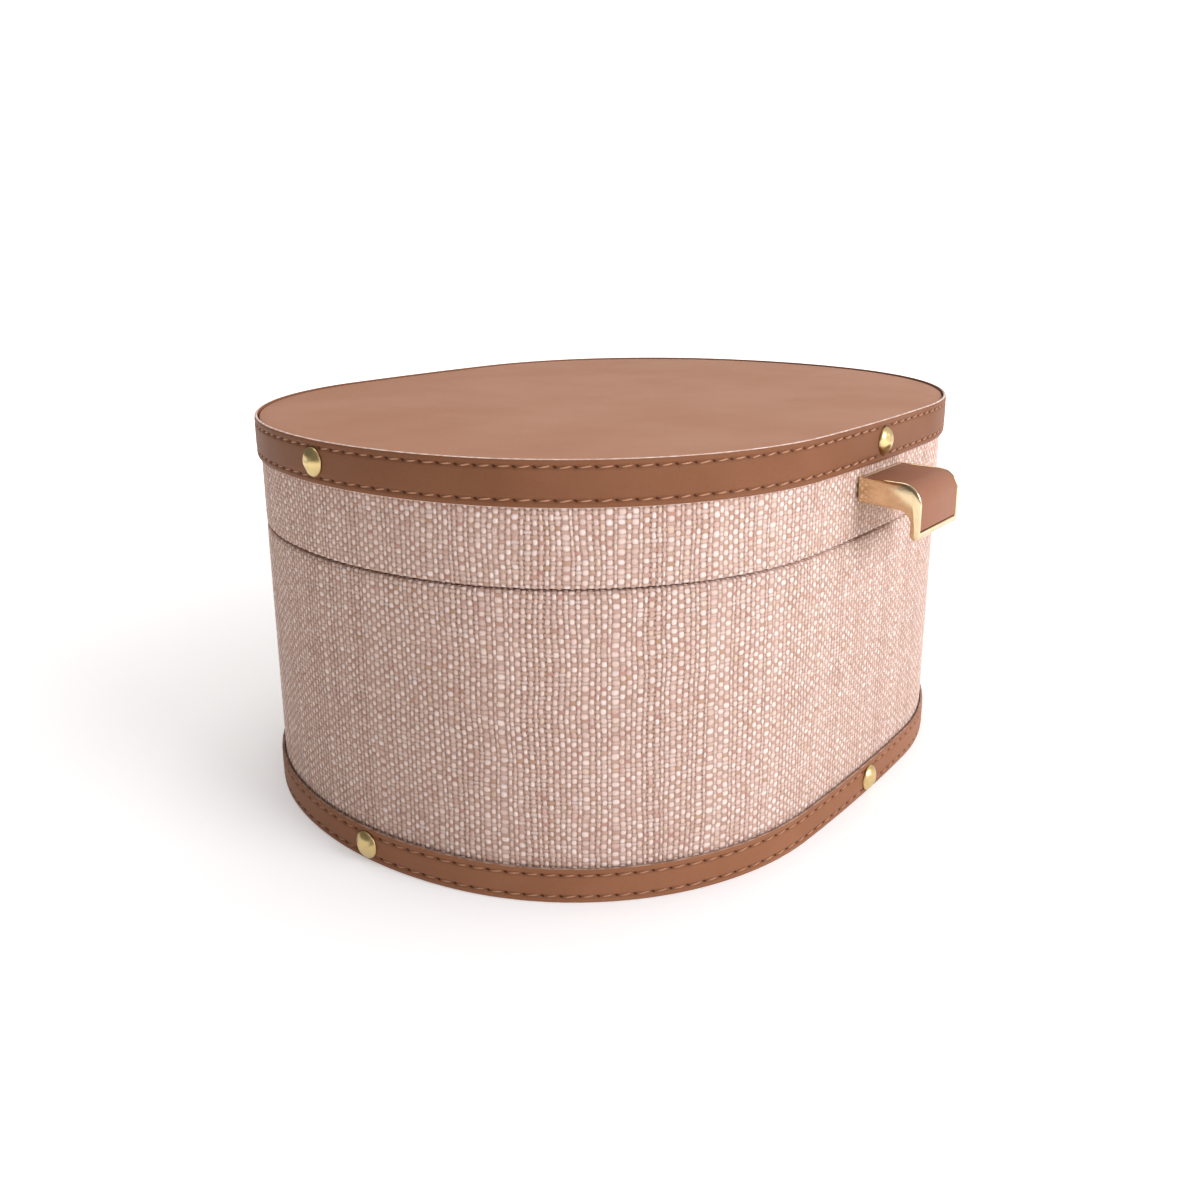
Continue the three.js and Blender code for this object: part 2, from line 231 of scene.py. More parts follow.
def rounded_ring(inset, thick, low, high, radius):
    """The closed section of a ring with four rounded edges, as (inset, height) points."""
    corners = [((inset + thick - radius, high - radius), 0), ((inset + radius, high - radius), 90),
               ((inset + radius, low + radius), 180), ((inset + thick - radius, low + radius), 270)]
    return [point for centre, start in corners
            for point in arc_points(centre, radius, start, start + 90, 3)]


def eased(bm, width, segments, smooth_under):
    """Rounds the sharp edges, and shades smoothly over every edge that turns less than an angle."""
    sharp = [item for item in bm.edges if item.calc_face_angle(0.0) > SHARP]
    bmesh.ops.bevel(bm, geom=sharp, offset=width, offset_type="OFFSET", affect="EDGES",
                    segments=segments, profile=0.5, material=-1, clamp_overlap=True)
    for item in bm.edges:
        item.smooth = item.calc_face_angle(0.0) < math.radians(smooth_under)


# ---- shader kit ----------------------------------------------------------------------------------
class Value:
    """A shader socket. Arithmetic on it adds Math nodes."""

    def __init__(self, kit, socket):
        self.kit, self.socket = kit, socket

    def math(self, operation, *others):
        return self.kit.node("ShaderNodeMath", {"operation": operation}, (self, *others))

    def __add__(self, other):
        return self.math("ADD", other)

    def __mul__(self, other):
        return self.math("MULTIPLY", other)

    def __sub__(self, other):
        return self.math("SUBTRACT", other)

    def __truediv__(self, other):
        return self.math("DIVIDE", other)

    def __rsub__(self, other):
        return self * -1 + other

    def __neg__(self):
        return self * -1

    __radd__ = __add__
    __rmul__ = __mul__


class NodeKit:
    """Adds nodes to one tree."""

    def __init__(self, tree):
        self.tree = tree

    def node(self, kind, settings=None, inputs=(), out=0):
        """Adds a node with its settings and inputs, and gives one of its outputs."""
        made = self.tree.nodes.new(kind)
        for key, value in (settings or {}).items():
            if key == "stops":
                self.set_stops(made.color_ramp, value)
            else:
                setattr(made, key, value)
        pairs = inputs.items() if isinstance(inputs, dict) else enumerate(inputs)
        for key, value in pairs:
            self.feed(made.inputs[key], value)
        return Value(self, made.outputs[out])

    @staticmethod
    def set_stops(ramp, stops):
        while len(ramp.elements) < len(stops):
            ramp.elements.new(0.5)
        for element, (position, colour) in zip(ramp.elements, stops):
            element.position, element.color = position, (*colour, 1)

    def feed(self, socket, value):
        if isinstance(value, Value):
            self.tree.links.new(value.socket, socket)
        elif value is not None:
            socket.default_value = (*value, 1) if socket.type == "RGBA" and len(value) == 3 else value

    def cloth_uv(self):
        """The two axes of the piece's own UV map."""
        uv = self.node("ShaderNodeUVMap", {"uv_map": "cloth"})
        split = self.node("ShaderNodeSeparateXYZ", None, (uv,))
        return split, Value(self, split.socket.node.outputs[1])

    def place(self):
        """Where a point lies in the object's own axes, in metres."""
        return self.node("ShaderNodeTexCoord", out=3)

    def vector(self, x, y):
        return self.node("ShaderNodeCombineXYZ", None, (x, y))

    def noise(self, at, scale, detail=2.0, roughness=0.5):
        return self.node("ShaderNodeTexNoise", None,
                         {"Vector": at, "Scale": scale, "Detail": detail, "Roughness": roughness})

    def dice(self, x, y):
        """A random number from 0 to 1 that is the same for equal x and y."""
        return self.node("ShaderNodeTexWhiteNoise", {"noise_dimensions": "2D"}, (self.vector(x, y),))

    def mix(self, share, first, second, blend="MIX"):
        settings = {"data_type": "RGBA", "blend_type": blend, "clamp_factor": True}
        return self.node("ShaderNodeMix", settings, {0: share, 6: first, 7: second}, out=2)

    def ramp(self, value, *stops):
        return self.node("ShaderNodeValToRGB", {"stops": stops}, (value,))

    def between(self, value, low, high):
        """0 at or below low, 1 at or above high, smooth between them."""
        return self.node("ShaderNodeMapRange", {"interpolation_type": "SMOOTHSTEP"},
                         (value, low, high, 0.0, 1.0))

    def bump(self, height, distance, strength):
        return self.node("ShaderNodeBump", None,
                         {"Strength": strength, "Distance": distance, "Height": height})


class Shader(NodeKit):
    """A material under construction, with its Principled shader."""

    def __init__(self, name, **fixed):
        self.material = bpy.data.materials.new(name)
        self.material.use_nodes = True
        super().__init__(self.material.node_tree)
        self.surface = self.tree.nodes["Principled BSDF"]
        for socket, value in fixed.items():
            self.surface.inputs[socket.replace("_", " ")].default_value = value

    def set(self, **sockets):
        for socket, value in sockets.items():
            self.feed(self.surface.inputs[socket.replace("_", " ")], value)


def plain_weave(kit, x, y, warp_width=(0.34, 0.12), weft_width=(0.40, 0.08), warp_rise=0.65):
    """Heights of a plain weave with one thread per unit: (height, warp on top, warp id, weft id).

    A width is (least half width, its random spread). A higher warp hides more of the weft."""
    warp, weft = x.math("FLOOR"), y.math("FLOOR")
    across, up = x - warp - 0.5, y - weft - 0.5
    warp_half = kit.dice(warp, 3.0) * warp_width[1] + warp_width[0]
    weft_half = kit.dice(weft, 7.0) * weft_width[1] + weft_width[0]
    warp_round = (1 - (across / warp_half).math("POWER", 2.0)).math("MAXIMUM", 0.0).math("SQRT")
    weft_round = (1 - (up / weft_half).math("POWER", 2.0)).math("MAXIMUM", 0.0).math("SQRT")
    warp_wave = ((y - 0.5 + warp) * PI).math("COSINE")
    weft_wave = -((x - 0.5 + weft) * PI).math("COSINE")
    warp_top = (warp_wave * 0.45 + warp_rise) * warp_round - 0.6
    weft_top = (weft_wave * 0.35 + 0.6) * weft_round - 0.6
    height = warp_top.math("MAXIMUM", weft_top)
    on_top = kit.between(warp_top - weft_top, -0.08, 0.08)
    return height, on_top, warp, weft


# ---- colours and stitch sizes --------------------------------------------------------------------
WARP_TONES = ((0.0, (0.58, 0.395, 0.335)), (0.5, (0.78, 0.595, 0.530)), (1.0, (0.87, 0.730, 0.680)))
WEFT_TONES = ((0.0, (0.43, 0.255, 0.187)), (0.5, (0.61, 0.415, 0.335)), (1.0, (0.79, 0.605, 0.525)))
# Each is (place in the draw, colour, strength). The draws of the warp lie 0.5 above the weft's.
STRAY_FIBRES = ((0.05, (0.45, 0.17, 0.13), 0.55), (0.15, (0.46, 0.27, 0.12), 0.55),
                (0.65, (0.48, 0.20, 0.15), 0.4), (0.75, (0.86, 0.77, 0.77), 0.4),
                (0.85, (0.62, 0.44, 0.28), 0.45), (0.95, (0.93, 0.83, 0.80), 0.4))
FIBRE_SHADE = (0.74, 0.71, 0.70)
# Painted shade: the linen darkens towards the first colour where its threads dip, and towards the second
# in the gaps between them.
PAINTED_DIP_SHADE = (0.35, 0.210, 0.160)
PAINTED_GAP_SHADE = (0.20, 0.118, 0.090)
# The third band colour is painted shade, for the creases along the stitch rows.
BAND_DARK, BAND_LIGHT, BAND_CREASE_SHADE = (0.196, 0.080, 0.040), (0.228, 0.097, 0.050), (0.11, 0.041, 0.020)
FOOT_DARK, FOOT_LIGHT = (0.262, 0.110, 0.056), (0.300, 0.132, 0.070)
TAN_DARK, TAN_LIGHT = (0.440, 0.215, 0.135), (0.475, 0.245, 0.160)
# Painted shade in the needle holes.
NEEDLE_HOLE_SHADE = (0.06, 0.02, 0.01)
LINING_THREAD_MM = 0.8
STITCH_MM = 6.2                  # from one stitch to the next
STITCH_EDGE_MM = 2.35            # from a band's edge to its stitch row


# ---- materials -----------------------------------------------------------------------------------
def linen_cloth():
    """Heathered linen: pale slubby warp floats over a browner weft, with odd coloured fibres, and painted
    shade where the threads dip and between them.
    """
    kit = Shader("linen", Roughness=0.92, Sheen_Weight=0.25, Sheen_Roughness=0.45,
                 Sheen_Tint=(1.0, 0.78, 0.66, 1))
    kit.surface.inputs["Specular IOR Level"].default_value = 0.2
    x, y = kit.cloth_uv()
    spot = kit.vector(x, y)
    x = x + (kit.noise(spot, 0.35, 1.0) - 0.5) * 0.35
    y = y + (kit.noise(kit.vector(x.math("FLOOR") * 7.7, y), 0.3, 1.0) - 0.5) * 0.9
    x = x + (kit.noise(kit.vector(x, y.math("FLOOR") * 4.1), 0.8, 1.0) - 0.5) * 0.35
    height, on_top, warp, weft = plain_weave(kit, x, y, (0.36, 0.16), (0.38, 0.1), 0.84)
    crossing = kit.dice(warp + 0.5, weft)
    warp_tone = (kit.dice(warp, 1.0) * 0.15 + crossing * 0.6
                 + kit.noise(kit.vector(warp * 3.7, y), 0.22, 1.0) * 0.5 - 0.12)
    weft_tone = (kit.dice(weft, 2.0) * 0.25 + kit.dice(weft + 0.5, warp) * 0.4
                 + kit.noise(kit.vector(x, weft * 5.3), 0.3, 1.0) * 0.6 - 0.12)
    warp_colour = kit.ramp(warp_tone, *WARP_TONES)
    weft_colour = kit.ramp(weft_tone, *WEFT_TONES)
    colour = kit.mix(on_top, weft_colour, warp_colour)
    stray = kit.dice(warp + 1.5, weft + 0.5) + on_top.math("ROUND") * 0.5
    for low, tint, share in STRAY_FIBRES:
        inside = kit.between(stray, low, low + 0.004) - kit.between(stray, low + 0.03, low + 0.034)
        colour = kit.mix(inside * share, colour, tint)
    streak = kit.noise(kit.vector(x * 7.0, y * 1.6), 1.0, 2.0)
    colour = kit.mix(kit.between(streak, 0.35, 0.75) * 0.4, colour, FIBRE_SHADE, "MULTIPLY")
    # Painted shade where the threads dip, and darker still in the gaps between threads.
    colour = kit.mix((1 - kit.between(height, -0.2, 0.55)) * 0.7, colour, PAINTED_DIP_SHADE)
    colour = kit.mix(1 - kit.between(height, -0.55, -0.05), colour, PAINTED_GAP_SHADE)
    kit.set(Base_Color=colour, Normal=kit.bump(height + streak * 0.3, 0.42 * MM, 0.85))
    return kit.material


def lining_cloth():
    """Plain beige cotton, finer and flatter than the linen."""
    kit = Shader("lining", Roughness=0.9, Sheen_Weight=0.15)
    x, y = kit.cloth_uv()
    threads = 1 / LINING_THREAD_MM
    height, on_top, _, _ = plain_weave(kit, x * threads, y * threads)
    tone = kit.noise(kit.vector(x, y), 0.06, 3.0)
    pale = kit.mix(tone, (0.60, 0.50, 0.42), (0.70, 0.60, 0.51))
    # Painted shade: darker where the threads sink, between the raised ones.
    colour = kit.mix(kit.between(height, -0.5, 0.3), (0.34, 0.26, 0.20), pale)
    colour = kit.mix((1 - on_top) * 0.3, colour, (0.46, 0.36, 0.29))
    kit.set(Base_Color=colour, Normal=kit.bump(height, 0.12 * MM, 0.6))
    return kit.material


def leather(name, dark, light, roughness):
    """Smooth leatherette: cloudy colour, a fine grain and a satin surface that varies a little.

    It returns the material's kit and its colour, which a band darkens with painted shade in its needle
    holes and stitch creases."""
    kit = Shader(name)
    kit.surface.inputs["Specular IOR Level"].default_value = 0.05
    at = kit.place()
    clouds = kit.noise(at, 22.0, 3.0)
    flecks = kit.noise(at, 900.0, 2.0)
    colour = kit.mix(kit.between(clouds, 0.3, 0.7), dark, light)
    colour = kit.mix(kit.between(flecks, 0.5, 0.75) * 0.12, colour, [0.6 * c for c in dark])
    cells = kit.node("ShaderNodeTexVoronoi", {"feature": "DISTANCE_TO_EDGE"},
                     {"Vector": at, "Scale": 1500.0})
    pores = kit.between(cells, 0.0, 0.22)
    rough = kit.noise(at, 60.0, 2.0) * 0.12 + (roughness - 0.06)
    kit.set(Base_Color=colour, Roughness=rough,
            Normal=kit.bump(pores + flecks * 0.6, 0.05 * MM, 0.5))
    return kit, colour


def needle_shade_masks(kit, beside, y, row):
    """How strongly one stitch row's painted shade shows, in its needle holes and its pulled-in crease."""
    reach = ((beside / 0.75).math("POWER", 2.0)
             + ((y - row + beside * 0.25) / 0.42).math("POWER", 2.0))
    away = (y - row).math("POWER", 2.0)
    return 1 - kit.between(reach, 0.35, 1.3), 1 - kit.between(away, 0.0, 1.2)


def band_leather(name, rows, dark, light):
    """Band leather, with painted shade in the needle holes that end each stitch and along each stitch
    row's crease. UV: stitches, millimetres.
    """
    kit, colour = leather(name, dark, light, 0.46)
    x, y = kit.cloth_uv()
    beside = ((x + 0.5).math("FRACT") - 0.5) * STITCH_MM
    (low_hole, low_crease), (high_hole, high_crease) = [needle_shade_masks(kit, beside, y, row) for row in rows]
    # Painted shade: darker along each stitch row's crease, and near black in the needle holes.
    colour = kit.mix((low_crease + high_crease) * 0.3, colour, BAND_CREASE_SHADE)
    colour = kit.mix((low_hole + high_hole) * 0.9, colour, NEEDLE_HOLE_SHADE)
    kit.set(Base_Color=colour)
    return kit.material


def cut_edge(name, dark, light):
    """The raw fibres along a leather edge."""
    kit = Shader(name, Roughness=0.75)
    at = kit.place()
    colour = kit.mix(kit.between(kit.noise(at, 420.0, 3.0), 0.35, 0.65), dark, light)
    kit.set(Base_Color=colour, Normal=kit.bump(kit.noise(at, 1400.0, 3.0), 0.1 * MM, 0.5))
    return kit.material


def polished_brass(name, base, roughness):
    """Handled brass, with smears that are a little lighter and duller."""
    kit = Shader(name, Metallic=1.0)
    at = kit.place()
    smears = kit.noise(at, 260.0, 4.0, 0.6)
    colour = kit.mix(kit.between(smears, 0.35, 0.7), base, [min(1, c * 1.12) for c in base])
    kit.set(Base_Color=colour, Roughness=smears * 0.14 + (roughness - 0.07),
            Normal=kit.bump(kit.noise(at, 1500.0, 3.0), 0.03 * MM, 0.4))
    return kit.material


def zinc_steel():
    """Zinc-plated steel for the fixings inside the lid."""
    kit = Shader("zinc_steel", Metallic=1.0)
    at = kit.place()
    spangle = kit.noise(at, 700.0, 3.0)
    kit.set(Base_Color=kit.mix(spangle, (0.50, 0.51, 0.53), (0.68, 0.68, 0.68)),
            Roughness=spangle * 0.2 + 0.25, Normal=kit.bump(spangle, 0.03 * MM, 0.4))
    return kit.material


def fibreboard():
    """The pressed chips of the walls and boards."""
    kit = Shader("fibreboard", Roughness=0.88)
    at = kit.place()
    chips = kit.noise(at, 330.0, 5.0, 0.65)
    kit.set(Base_Color=kit.mix(kit.between(chips, 0.3, 0.7), (0.22, 0.17, 0.12), (0.42, 0.35, 0.27)),
            Normal=kit.bump(chips, 0.2 * MM, 0.6))
    return kit.material


def sewing_thread():
    """Tan thread with twisted strands."""
    kit = Shader("sewing_thread", Roughness=0.7)
    kit.surface.inputs["Specular IOR Level"].default_value = 0.1
    at = kit.place()
    strands = kit.noise(at, 2300.0, 2.0)
    colour = kit.mix(strands, (0.32, 0.145, 0.080), (0.56, 0.31, 0.20))
    kit.set(Base_Color=colour, Normal=kit.bump(strands, 0.1 * MM, 0.7))
    return kit.material


LINEN = linen_cloth()
LINING = lining_cloth()
TAN_LEATHER = leather("tan_leather", TAN_DARK, TAN_LIGHT, 0.5)[0].material
UNDER_LEATHER = leather("under_leather", BAND_DARK, BAND_LIGHT, 0.55)[0].material
LID_EDGE = cut_edge("lid_edge", (0.62, 0.42, 0.35), (0.88, 0.71, 0.64))
BASE_EDGE = cut_edge("base_edge", (0.24, 0.13, 0.085), (0.42, 0.27, 0.20))
PULL_LEATHER = leather("pull_leather", (0.270, 0.118, 0.070), (0.300, 0.136, 0.085), 0.45)[0].material
BRASS = polished_brass("brass", (0.66, 0.505, 0.31), 0.17)
STUD_BRASS = polished_brass("stud_brass", (0.62, 0.47, 0.22), 0.33)
STEEL = zinc_steel()
BOARD = fibreboard()
THREAD = sewing_thread()


# ---- linen wraps ---------------------------------------------------------------------------------
PICK = 1.6 * MM                  # weft spacing
WARP_PITCH = 1.95 * MM
RELIEF = 0.22 * MM
LINEN_INSET = 0.15 * MM          # under the cloth's outer face, so that the relief fits it
RIM_INSET = 0.12 * MM
FOLD = 0.7 * MM                  # the radius of the turned edge
FOLD_DEPTH = 3.4 * MM


def weave_relief(bm, seed):
    """Lifts the warp floats and sinks the weft between them, with uneven thread widths."""
    along = bm.verts.layers.float["along"]
    draw = random.Random(seed)
    total = round_total(THREADS)
    edge_shift = [draw.uniform(-0.24, 0.24) for _ in range(total)]
    fullness = [draw.uniform(0.65, 1.15) for _ in range(total)]
    stations = unwrap(bm, THREADS)
    bm.normal_update()
    moves = []
    for vert, mark in stations.items():
        half = round(mark * 2) % (2 * total)
        thread, at_edge = half // 2, half % 2 == 0
        row = round(vert[along] - 0.5)
        left, right = edge_shift[thread], edge_shift[(thread + 1) % total]
        shift = left if at_edge else (left + right) / 2
        sway = noise.noise(Vector((thread * 0.11, row * 0.09, seed))) * 0.35
        if at_edge:
            lift = -0.25
        else:
            lift = fullness[thread] if (thread + row) % 2 == 0 else -0.15
        uneven = noise.noise(Vector((thread * 0.9, row * 0.35, seed + 9.0))) * 0.25
        tangent = Vector((-vert.normal.y, vert.normal.x, 0))
        moves.append((vert, vert.normal * (lift + uneven) * RELIEF
                      + tangent * (shift + sway) * WARP_PITCH))
    for vert, move in moves:
        vert.co += move


def picks(points):
    """Re-spaces (inset, height) points one pick apart, with `along` counted in picks."""
    lengths = [0.0]
    for one, two in zip(points, points[1:]):
        lengths.append(lengths[-1] + math.dist(one, two))
    count = int(lengths[-1] / PICK)
    out, segment = [], 0
    for index in range(count + 1):
        target = min(index * PICK, lengths[-1])
        while segment < len(points) - 2 and lengths[segment + 1] < target:
            segment += 1
        share = (target - lengths[segment]) / max(lengths[segment + 1] - lengths[segment], 1e-9)
        one, two = points[segment], points[segment + 1]
        out.append((one[0] + (two[0] - one[0]) * share, one[1] + (two[1] - one[1]) * share, index + 0.5))
    return out


def linen_wrap(name, node, body, flat_edge, folded_edge, seed):
    """A strip of linen glued round a wall, with one edge turned in over the rim."""
    outer = inset_of(node) + LINEN_INSET
    turn = 1 if folded_edge > flat_edge else -1
    rim = folded_edge - turn * RIM_INSET
    bend = arc_points((outer + FOLD, rim - turn * FOLD), FOLD, 180, 180 - turn * 90, 6)
    points = [(outer, flat_edge), *bend, (outer + FOLD_DEPTH, rim)]
    bm = swept(picks(points), THREADS, 2, closed=False)
    weave_relief(bm, seed)
    wrap = finish_piece(name, bm, body, [LINEN])
    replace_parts(wrap, node)


LINEN_FOOT = 4 * MM              # where the body's linen starts, behind the base band
linen_wrap("body_linen", "body_fabric", "body", LINEN_FOOT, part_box("body_fabric")[1].z, 11)
linen_wrap("lid_linen", "lid_fabric", "lid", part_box("lid_fabric")[1].z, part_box("lid_fabric")[0].z, 23)


# ---- leather bands -------------------------------------------------------------------------------
STUD_SIDES = ("front", "back", "left", "right")
BAND_THICK = 1.3 * MM
BAND_COLUMNS = 6                 # per stitch
GROOVE_MM = ((-1.0, 0.06), (-0.5, 0.16), (0.0, 0.3), (0.5, 0.16), (1.0, 0.04))     # (up, in)
PUNCH = (0.5 * MM, 0.12 * MM)    # how deep a needle hole is, and the leather beside it


def band_section(low, high):
    """The closed section of a band: two stitch grooves on its face and slightly rounded edges."""
    rows = [low + STITCH_EDGE_MM * MM, high - STITCH_EDGE_MM * MM]
    middle, spread = (rows[0] + rows[1]) / 2, (rows[1] - rows[0]) / 2 - 1.6 * MM
    grooves = [[(inset * MM, row + up * MM) for up, inset in GROOVE_MM] for row in rows]
    flat = [(0.0, middle + spread * share) for share in (-1, -0.5, 0, 0.5, 1)]
    low_edge = [(0.16 * MM, low + 0.5 * MM), (0.10 * MM, low + 1.0 * MM)]
    high_edge = [(0.10 * MM, high - 1.0 * MM), (0.16 * MM, high - 0.45 * MM)]
    top = [(0.28 * MM, high - 0.14 * MM), (0.5 * MM, high),
           (BAND_THICK - 0.2 * MM, high), (BAND_THICK, high - 0.2 * MM)]
    bottom = [(BAND_THICK, low + 0.2 * MM), (BAND_THICK - 0.2 * MM, low),
              (0.5 * MM, low), (0.28 * MM, low + 0.14 * MM)]
    return low_edge + grooves[0] + flat + grooves[1] + high_edge + top + bottom, rows


def leather_band(name, node, body, colours, edge):
    """A stitched band round the oval. It gives the heights of its stitch rows."""
    low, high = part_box(node)
    section, rows = band_section(low.z, high.z)
    profile = [(inset, z, (z - low.z) / MM) for inset, z in section]
    bm = swept(profile, STITCHES, BAND_COLUMNS)
    stations = unwrap(bm, STITCHES)
    bm.normal_update()
    for vert, mark in stations.items():
        column = round(mark * BAND_COLUMNS) % BAND_COLUMNS
        beside = min(column, BAND_COLUMNS - column)
        near = min(abs(vert.co.z - row) for row in rows) / MM
        if beside <= 1 and near < 0.7 and vert.normal.z**2 < 0.5:
            vert.co -= vert.normal * PUNCH[beside] * (1 - near / 0.9)
    for face in bm.faces:
        face.material_index = 1 if abs(face.normal.z) > 0.8 else 0
    face_leather = band_leather(name + "_leather", [(row - low.z) / MM for row in rows], *colours)
    band = finish_piece(name, bm, body, [face_leather, edge])
    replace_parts(band, node)
    return rows


def stitch_row_spots():
    """The middle of every stitch on the bands' outer face, with the outward direction there."""
    spots = []
    for arc in ARCS:
        for index in range(STITCHES[arc.kind]):
            turn = arc.start + arc.sweep * (index + 0.5) / STITCHES[arc.kind]
            out = Vector((math.cos(turn), math.sin(turn), 0))
            spots.append((arc.centre + out * arc.radius, out))
    return spots


STITCH_HALF = 1.95 * MM          # half a stitch's length
STITCH_SLANT = 8.0               # degrees, up to the right as seen from outside
THREAD_OUT, THREAD_UP = 0.26 * MM, 0.3 * MM
STITCH_SINK = 0.2 * MM
STUD_CLEARANCE = 5.6 * MM


def stitching(name, node, body, rows, seed):
    """One short slanted thread per stitch, sunk in its groove at both ends."""
    draw = random.Random(seed)
    studs = [sum(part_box(f"{node}_stud_{side}"), Vector()) / 2 for side in STUD_SIDES]
    bm = bmesh.new()
    for row in rows:
        for spot, out in stitch_row_spots():
            if min((spot.xy - stud.xy).length for stud in studs) < STUD_CLEARANCE:
                continue
            along = Vector((-out.y, out.x, 0))
            slant = math.radians(STITCH_SLANT + draw.uniform(-3, 3))
            half = STITCH_HALF * draw.uniform(0.88, 1.08)
            made = bmesh.ops.create_uvsphere(bm, u_segments=8, v_segments=6, radius=1.0)
            size = Matrix.Diagonal((THREAD_OUT, THREAD_UP, half, 1))
            axes = Matrix((out, out.cross(along), along)).transposed().to_4x4()
            tilt = Matrix.Rotation(slant, 4, out)
            centre = spot - out * STITCH_SINK + Vector((0, 0, row + draw.uniform(-0.1, 0.1) * MM))
            matrix = Matrix.Translation(centre) @ tilt @ axes @ size
            bmesh.ops.transform(bm, matrix=matrix, verts=made["verts"])
            for vert in made["verts"]:
                reach = (vert.co - centre).dot(along) / half
                vert.co -= out * STITCH_SINK * reach**2
    bmesh.ops.recalc_face_normals(bm, faces=bm.faces)
    finish_piece(name, bm, body, [THREAD])


lid_rows = leather_band("lid_band", "lid_trim", "lid", (BAND_DARK, BAND_LIGHT), LID_EDGE)
stitching("lid_stitches", "lid", "lid", lid_rows, 31)
base_rows = leather_band("base_band", "base_trim", "body", (FOOT_DARK, FOOT_LIGHT), BASE_EDGE)
stitching("base_stitches", "base", "body", base_rows, 37)


# ---- leather top, underside, pads and linings ----------------------------------------------------
OUTLINE = sum(arc.radius * arc.sweep for arc in ARCS)
RING_THICK = {"body_lining": 1.2 * MM, "lid_lining": 0.6 * MM, "rim_collar": 2.0 * MM}


def plate(inset, low, high, edge, crown=()):
    """An oval plate with rounded edges. Each (width, rise) of the crown steps in and up."""
    bm = swept([(inset, low, 0.0)], STEPS, closed=False)
    bottom = bmesh.ops.contextual_create(bm, geom=bm.edges[:])["faces"]
    made = bmesh.ops.extrude_face_region(bm, geom=bottom)["geom"]
    lifted = [item for item in made if isinstance(item, bmesh.types.BMVert)]
    bmesh.ops.translate(bm, verts=lifted, vec=(0, 0, high - low))
    bmesh.ops.recalc_face_normals(bm, faces=bm.faces)
    rims = [item for item in bm.edges if abs(item.verts[0].co.z - item.verts[1].co.z) < WELD]
    bmesh.ops.bevel(bm, geom=rims, offset=edge, offset_type="OFFSET", affect="EDGES", segments=4,
                    profile=0.5, material=-1)
    top = [max(bm.faces, key=lambda face: face.calc_center_median().z)]
    for width, rise in crown:
        bmesh.ops.inset_region(bm, faces=top, thickness=width, depth=rise, use_even_offset=True)
    for item in bm.edges:
        item.smooth = item.calc_face_angle(0.0) < math.radians(50)
    return bm


def flat_unwrap(bm):
    """A UV map seen from above, in millimetres."""
    uv = bm.loops.layers.uv.new("cloth")
    for face in bm.faces:
        for loop in face.loops:
            loop[uv].uv = (loop.vert.co.x / MM, loop.vert.co.y / MM)


def lid_top():
    """The tan leather top, its skived rim showing a pale cut edge."""
    low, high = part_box("lid_cover")
    bm = plate(inset_of("lid_cover"), low.z, high.z, 0.35 * MM,
               [(4 * MM, 0.1 * MM), (12 * MM, 0.15 * MM), (30 * MM, 0.1 * MM)])
    for face in bm.faces:
        face.material_index = 1 if abs(face.normal.z) < 0.6 else 0
    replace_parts(finish_piece("leather_top", bm, "lid", [TAN_LEATHER, LID_EDGE]),
                "lid_cover")


def underside():
    """The leather under the foot."""
    low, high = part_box("base_cover")
    bm = plate(inset_of("base_cover"), low.z, high.z, 0.3 * MM)
    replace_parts(finish_piece("leather_base", bm, "body", [UNDER_LEATHER]),
                "base_cover")


def pad(name, node, body, crown, downwards=False):
    """A thin foam pad in lining cloth, with a soft rolled rim."""
    low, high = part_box(node)
    bm = plate(inset_of(node), low.z, high.z - sum(rise for _, rise in crown), 1.2 * MM, crown)
    if downwards:
        middle = Vector((0, 0, (low.z + high.z) / 2))
        bmesh.ops.rotate(bm, verts=bm.verts, cent=middle, matrix=Matrix.Rotation(PI, 3, "X"))
    for vert in bm.verts:
        if (vert.co.z < low.z + 1.5 * MM) if downwards else (vert.co.z > high.z - 1.5 * MM):
            vert.co.z += noise.noise(vert.co * 45) * 0.15 * MM
    flat_unwrap(bm)
    piece = finish_piece(name, bm, body, [LINING])
    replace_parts(piece, node)


def cloth_ring(name, node, body, radius):
    """A ring covered in lining cloth, with rounded edges."""
    low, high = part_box(node)
    section = rounded_ring(inset_of(node), RING_THICK[node], low.z, high.z, radius)
    bm = swept(measured(section), STEPS, 2)
    unwrap(bm, STEPS, OUTLINE / MM / round_total(STEPS))
    piece = finish_piece(name, bm, body, [LINING])
    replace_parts(piece, node)


lid_top()
underside()
pad("ceiling_pad", "lid_pad", "lid", [(8 * MM, 0.5 * MM), (20 * MM, 0.5 * MM), (40 * MM, 0.2 * MM)], True)
pad("floor_pad", "base_pad", "body", [(8 * MM, 0.7 * MM), (20 * MM, 0.7 * MM), (40 * MM, 0.3 * MM)])
cloth_ring("lid_lining_cloth", "lid_lining", "lid", 0.25 * MM)
cloth_ring("body_lining_cloth", "body_lining", "body", 0.5 * MM)
cloth_ring("collar_cloth", "rim_collar", "body", 0.9 * MM)


# ---- brass: studs, rivets, hinge and pull --------------------------------------------------------
AXIS_WELD = 0.002 * MM           # merges the spun ends on the axis and nothing else


def turned(points, segments):
    """Spins (radius, height) points about Z into a closed solid."""
    bm = bmesh.new()
    row = [bm.verts.new((radius, 0, height)) for radius, height in points]
    edges = [bm.edges.new(pair) for pair in zip(row, row[1:])]
    bmesh.ops.spin(bm, geom=row + edges, cent=(0, 0, 0), axis=(0, 0, 1), angle=2 * PI,
                   steps=segments, use_merge=True)
    bmesh.ops.remove_doubles(bm, verts=bm.verts, dist=AXIS_WELD)
    bmesh.ops.recalc_face_normals(bm, faces=bm.faces)
    return bm


